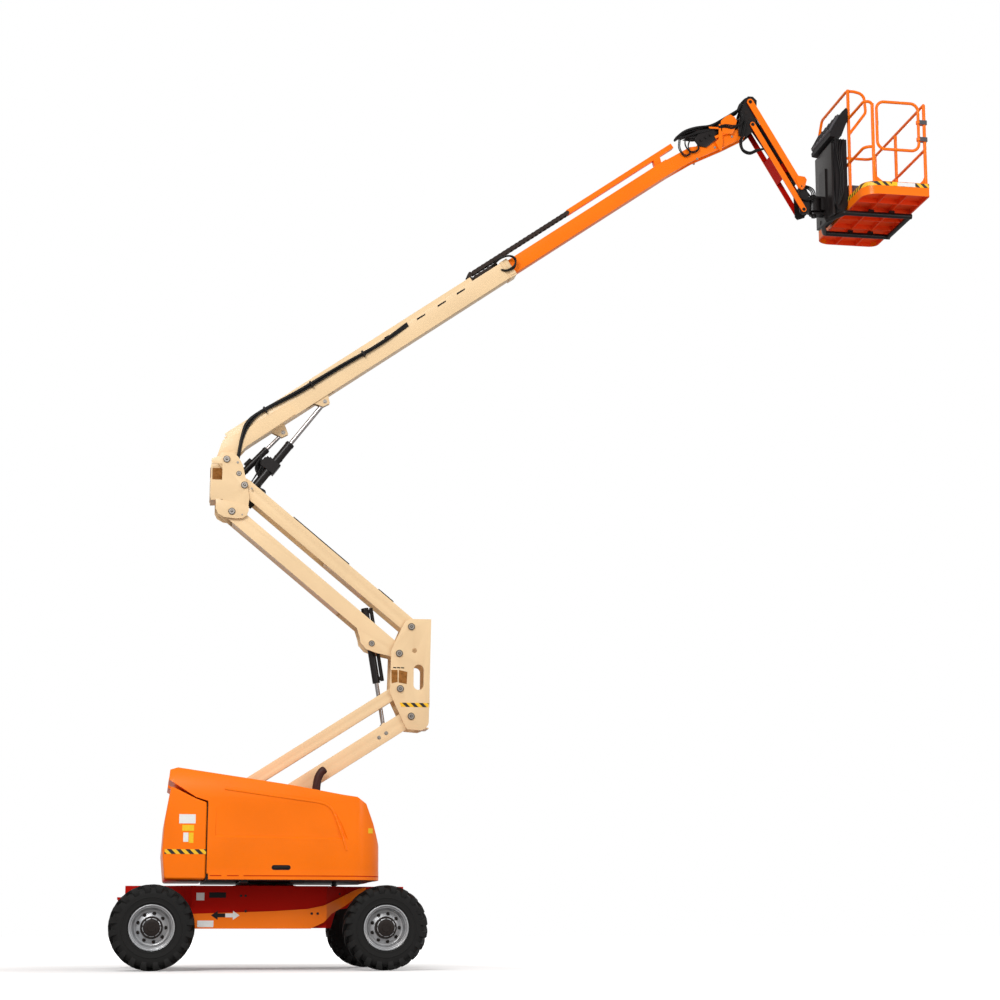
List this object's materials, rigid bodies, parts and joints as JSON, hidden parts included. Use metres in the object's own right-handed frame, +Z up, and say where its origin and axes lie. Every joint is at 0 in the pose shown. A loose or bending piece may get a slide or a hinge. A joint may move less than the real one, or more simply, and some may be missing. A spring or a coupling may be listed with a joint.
{
  "type": "articulating boom lift",
  "caption": "Self-propelled work platform on four wheels with a slewing turntable, a folding two-stage tower, a telescopic boom, a short jib and a railed platform.",
  "frame": {"origin": "on the ground under the slew axis, midway between the axles", "axes": "+X forward to the steered axle, +Y to the left side, +Z up"},
  "size_m": [8.7688, 2.336, 9.9473],
  "materials": {
    "tyre": "matt black moulded rubber",
    "rim": "silver paint, satin",
    "orange": "orange paint, gloss",
    "cream": "cream paint, gloss",
    "rod": "hard chrome, polished",
    "plastic": "black plastic, matt",
    "iron": "dark cast iron",
    "black": "black paint, satin"
  },
  "bodies": {
    "chassis": {"chassis": "orange", "rear_axle": "black", "front_axle": "black"},
    "tie_rod": {"tie_rod": "black"},
    "steer_right": {"steer_knuckle_right": "black"},
    "steer_left": {"steer_knuckle_left": "black"},
    "turntable": {"turntable_frame": "black", "counterweight": "orange", "engine": "iron", "tank": "black", "centre_cowl_left": "orange", "centre_cowl_right": "orange", "exhaust": "iron"},
    "cowl_right": {"cowl_right": "orange"},
    "cowl_left": {"cowl_left": "orange"},
    "lower_arm": {"lower_arm": "cream"},
    "lower_link": {"lower_link": "cream"},
    "mid_upright": {"mid_upright": "cream"},
    "upper_arm": {"upper_arm": "cream"},
    "upper_link": {"upper_link": "cream"},
    "top_upright": {"top_upright": "cream"},
    "tower_barrel": {"tower_barrel": "black"},
    "tower_rod": {"tower_rod": "rod"},
    "main_boom": {"main_boom": "cream", "chain_lower": "plastic"},
    "fly_boom": {"fly_boom": "orange", "chain_upper": "plastic"},
    "lift_barrel": {"lift_barrel": "black"},
    "lift_rod": {"lift_rod": "rod"},
    "level_barrel": {"level_barrel": "black"},
    "level_rod": {"level_rod": "rod"},
    "knuckle": {"knuckle": "black"},
    "slave_barrel": {"slave_barrel": "black"},
    "slave_rod": {"slave_rod": "rod"},
    "jib_arm": {"jib_arm": "orange"},
    "jib_link": {"jib_link": "orange"},
    "jib_barrel": {"jib_barrel": "black"},
    "jib_rod": {"jib_rod": "rod"},
    "jib_head": {"jib_head": "black"},
    "platform": {"platform_support": "black", "platform_deck": "orange", "platform_rail_front": "orange", "platform_rail_far": "orange", "platform_rail_rear": "orange", "platform_rail_near": "orange", "console": "plastic", "console_cover": "plastic"},
    "gate": {"gate": "orange"},
    "wheel_rear_right": {"tyre_rear_right": "tyre", "rim_rear_right": "rim"},
    "wheel_rear_left": {"tyre_rear_left": "tyre", "rim_rear_left": "rim"},
    "wheel_front_right": {"tyre_front_right": "tyre", "rim_front_right": "rim"},
    "wheel_front_left": {"tyre_front_left": "tyre", "rim_front_left": "rim"}
  },
  "joints": [
    {"name": "wheel_rear_right", "type": "hinge", "parent": "chassis", "child": "wheel_rear_right", "pos_m": [-1.15, -1.01, 0.42], "axis": [0, 1, 0], "continuous": true},
    {"name": "wheel_rear_left", "type": "hinge", "parent": "chassis", "child": "wheel_rear_left", "pos_m": [-1.15, 1.01, 0.42], "axis": [0, 1, 0], "continuous": true},
    {"name": "wheel_front_right", "type": "hinge", "parent": "steer_right", "child": "wheel_front_right", "pos_m": [1.15, -1.01, 0.42], "axis": [0, 1, 0], "continuous": true},
    {"name": "wheel_front_left", "type": "hinge", "parent": "steer_left", "child": "wheel_front_left", "pos_m": [1.15, 1.01, 0.42], "axis": [0, 1, 0], "continuous": true},
    {"name": "steer_left", "type": "hinge", "parent": "chassis", "child": "steer_left", "pos_m": [1.15, 0.77, 0.42], "axis": [0, 0, 1], "range_deg": [-35, 35]},
    {"name": "steer_right", "type": "hinge", "parent": "chassis", "child": "steer_right", "pos_m": [1.15, -0.77, 0.42], "axis": [0, 0, 1], "range_deg": [-36, 36]},
    {"name": "tie_rod_slide", "type": "slide", "parent": "chassis", "child": "tie_rod", "axis": [0, -1, 0], "range_m": [-0.09104, 0.09104]},
    {"name": "slew", "type": "hinge", "parent": "chassis", "child": "turntable", "pos_m": [0, 0, 0.88], "axis": [0, 0, 1], "range_deg": [-180, 180]},
    {"name": "cowl_right", "type": "hinge", "parent": "turntable", "child": "cowl_right", "pos_m": [0, -0.33, 1.85419], "axis": [-0.9875, 0, 0.1577], "range_deg": [0, 70]},
    {"name": "cowl_left", "type": "hinge", "parent": "turntable", "child": "cowl_left", "pos_m": [0, 0.33, 1.85419], "axis": [0.9875, 0, -0.1577], "range_deg": [0, 70]},
    {"name": "tower_lift", "type": "hinge", "parent": "turntable", "child": "lower_arm", "pos_m": [-0.63, 0, 1.247], "axis": [0, -1, 0], "range_deg": [-33, 30]},
    {"name": "lower_link_pin", "type": "hinge", "parent": "turntable", "child": "lower_link", "pos_m": [-0.749, 0, 1.538], "axis": [0, -1, 0], "range_deg": [-34, 31]},
    {"name": "mid_upright_pin", "type": "hinge", "parent": "lower_arm", "child": "mid_upright", "pos_m": [1.49687, 0, 2.6282], "axis": [0, -1, 0], "range_deg": [-31, 34]},
    {"name": "upper_arm_pin", "type": "hinge", "parent": "mid_upright", "child": "upper_arm", "pos_m": [1.36387, 0, 3.29621], "axis": [0, -1, 0], "range_deg": [-37, 40.6]},
    {"name": "upper_link_pin", "type": "hinge", "parent": "mid_upright", "child": "upper_link", "pos_m": [1.49087, 0, 3.58621], "axis": [0, -1, 0], "range_deg": [-37, 40.6]},
    {"name": "top_upright_pin", "type": "hinge", "parent": "upper_arm", "child": "top_upright", "pos_m": [-0.44021, 0, 4.77546], "axis": [0, -1, 0], "range_deg": [-40.6, 37]},
    {"name": "tower_barrel_pin", "type": "hinge", "parent": "upper_arm", "child": "tower_barrel", "pos_m": [1.07087, 0, 3.40021], "axis": [0, -1, 0], "range_deg": [-35.97, 32.79]},
    {"name": "tower_rod_slide", "type": "slide", "parent": "tower_barrel", "child": "tower_rod", "axis": [0.1688, 0, -0.9856], "range_m": [-0.34708, 0.31644]},
    {"name": "boom_lift", "type": "hinge", "parent": "top_upright", "child": "main_boom", "pos_m": [-0.50721, 0, 5.34046], "axis": [0, -1, 0], "range_deg": [-39, 36.5]},
    {"name": "lift_barrel_pin", "type": "hinge", "parent": "top_upright", "child": "lift_barrel", "pos_m": [-0.32221, -0.04, 4.91046], "axis": [0, -1, 0], "range_deg": [-33.97, 31.86]},
    {"name": "lift_rod_slide", "type": "slide", "parent": "lift_barrel", "child": "lift_rod", "axis": [0.6046, 0, 0.7966], "range_m": [-0.28196, 0.26452]},
    {"name": "level_barrel_pin", "type": "hinge", "parent": "top_upright", "child": "level_barrel", "pos_m": [-0.37421, 0.055, 5.18946], "axis": [0, -1, 0], "range_deg": [-39.16, 36.71]},
    {"name": "level_rod_slide", "type": "slide", "parent": "level_barrel", "child": "level_rod", "axis": [0.6792, 0, 0.734], "range_m": [-0.13552, 0.12747]},
    {"name": "boom_extend", "type": "slide", "parent": "main_boom", "child": "fly_boom", "axis": [0.8141, 0, 0.5807], "range_m": [-1.85, 0]},
    {"name": "knuckle_pin", "type": "hinge", "parent": "fly_boom", "child": "knuckle", "pos_m": [5.2852, 0, 9.44635], "axis": [0, -1, 0], "range_deg": [-37.5, 40]},
    {"name": "slave_barrel_pin", "type": "hinge", "parent": "fly_boom", "child": "slave_barrel", "pos_m": [4.70031, 0, 9.19006], "axis": [0, -1, 0], "range_deg": [-8.85, 9.39]},
    {"name": "slave_rod_slide", "type": "slide", "parent": "slave_barrel", "child": "slave_rod", "axis": [0.7908, 0, 0.612], "range_m": [-0.1183, 0.11136]},
    {"name": "jib_lift", "type": "hinge", "parent": "knuckle", "child": "jib_arm", "pos_m": [5.3662, 0, 9.79735], "axis": [0, -1, 0], "range_deg": [0, 135]},
    {"name": "jib_link_pin", "type": "hinge", "parent": "knuckle", "child": "jib_link", "pos_m": [5.3902, 0, 9.52535], "axis": [0, -1, 0], "range_deg": [-1, 136]},
    {"name": "jib_head_pin", "type": "hinge", "parent": "jib_arm", "child": "jib_head", "pos_m": [5.95575, 0, 8.81229], "axis": [0, -1, 0], "range_deg": [-136, 1]},
    {"name": "jib_barrel_pin", "type": "hinge", "parent": "knuckle", "child": "jib_barrel", "pos_m": [5.3662, 0, 9.59735], "axis": [0, -1, 0], "range_deg": [-1, 136.05]},
    {"name": "jib_rod_slide", "type": "slide", "parent": "jib_barrel", "child": "jib_rod", "axis": [0.5664, 0, -0.8241], "range_m": [-0.01, 0.40888]},
    {"name": "platform_rotate", "type": "hinge", "parent": "jib_head", "child": "platform", "pos_m": [6.13375, 0, 8.62229], "axis": [0, 0, 1], "range_deg": [-90, 90]},
    {"name": "gate_hinge", "type": "hinge", "parent": "platform", "child": "gate", "pos_m": [7.10275, -0.879, 9.05029], "axis": [0, 0, -1], "range_deg": [0, 90]}
  ],
  "couplings": [
    {"joint": "steer_right", "follows": "steer_left", "ratio": 1},
    {"joint": "tie_rod_slide", "follows": "steer_left", "m_per_rad": 0.14084},
    {"joint": "lower_link_pin", "follows": "tower_lift", "ratio": 1},
    {"joint": "mid_upright_pin", "follows": "tower_lift", "ratio": -1},
    {"joint": "upper_arm_pin", "follows": "tower_lift", "ratio": -1.2},
    {"joint": "upper_link_pin", "follows": "tower_lift", "ratio": -1.2},
    {"joint": "top_upright_pin", "follows": "tower_lift", "ratio": 1.2},
    {"joint": "tower_barrel_pin", "follows": "tower_lift", "ratio": 1.0596},
    {"joint": "tower_rod_slide", "follows": "tower_lift", "m_per_rad": 0.58526},
    {"joint": "lift_barrel_pin", "follows": "boom_lift", "ratio": 0.84537},
    {"joint": "lift_rod_slide", "follows": "boom_lift", "m_per_rad": 0.39953},
    {"joint": "level_barrel_pin", "follows": "boom_lift", "ratio": 0.97844},
    {"joint": "level_rod_slide", "follows": "boom_lift", "m_per_rad": 0.1844},
    {"joint": "knuckle_pin", "follows": "boom_lift", "ratio": -1},
    {"joint": "slave_barrel_pin", "follows": "boom_lift", "ratio": -0.21519},
    {"joint": "slave_rod_slide", "follows": "boom_lift", "m_per_rad": 0.1591},
    {"joint": "jib_link_pin", "follows": "jib_lift", "ratio": 1},
    {"joint": "jib_head_pin", "follows": "jib_lift", "ratio": -1},
    {"joint": "jib_barrel_pin", "follows": "jib_lift", "ratio": 1.0004},
    {"joint": "jib_rod_slide", "follows": "jib_lift", "m_per_rad": 0.16929}
  ]
}
